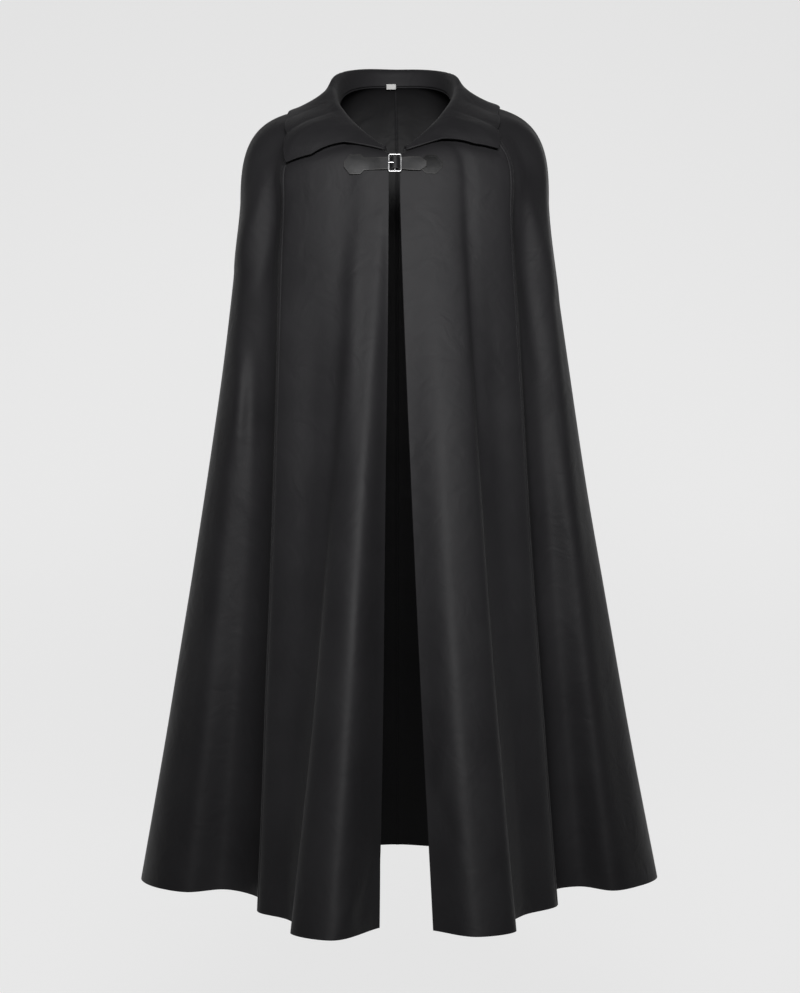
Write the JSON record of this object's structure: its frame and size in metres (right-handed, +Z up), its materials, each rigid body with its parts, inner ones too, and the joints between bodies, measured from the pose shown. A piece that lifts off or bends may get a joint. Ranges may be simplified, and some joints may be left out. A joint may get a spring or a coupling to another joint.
{
  "type": "wool cloak",
  "caption": "Long flared wool cloak in its worn form, with a turned-down pointed collar and a leather strap and buckle at the neck.",
  "frame": {"origin": "on the neck's axis, level with the shoulders, where the wearer's shoulders carry the cloak", "axes": "+Z up, -Y the way the wearer faces, +X to the wearer's left"},
  "size_m": [0.8808, 0.7368, 1.3781],
  "materials": {
    "wool": "matte, short dense nap",
    "leather": "smooth, semi-matte",
    "buckle_steel": "polished",
    "label_cloth": "matte satin ribbon"
  },
  "bodies": {
    "root": {"front_right": "wool", "side_right": "wool", "back_right": "wool", "front_left": "wool", "side_left": "wool", "back_left": "wool", "collar": "wool", "clasp_strap": "leather", "clasp_tab": "leather", "buckle_frame": "buckle_steel", "buckle_prong": "buckle_steel", "neck_label": "label_cloth"}
  },
  "joints": []
}
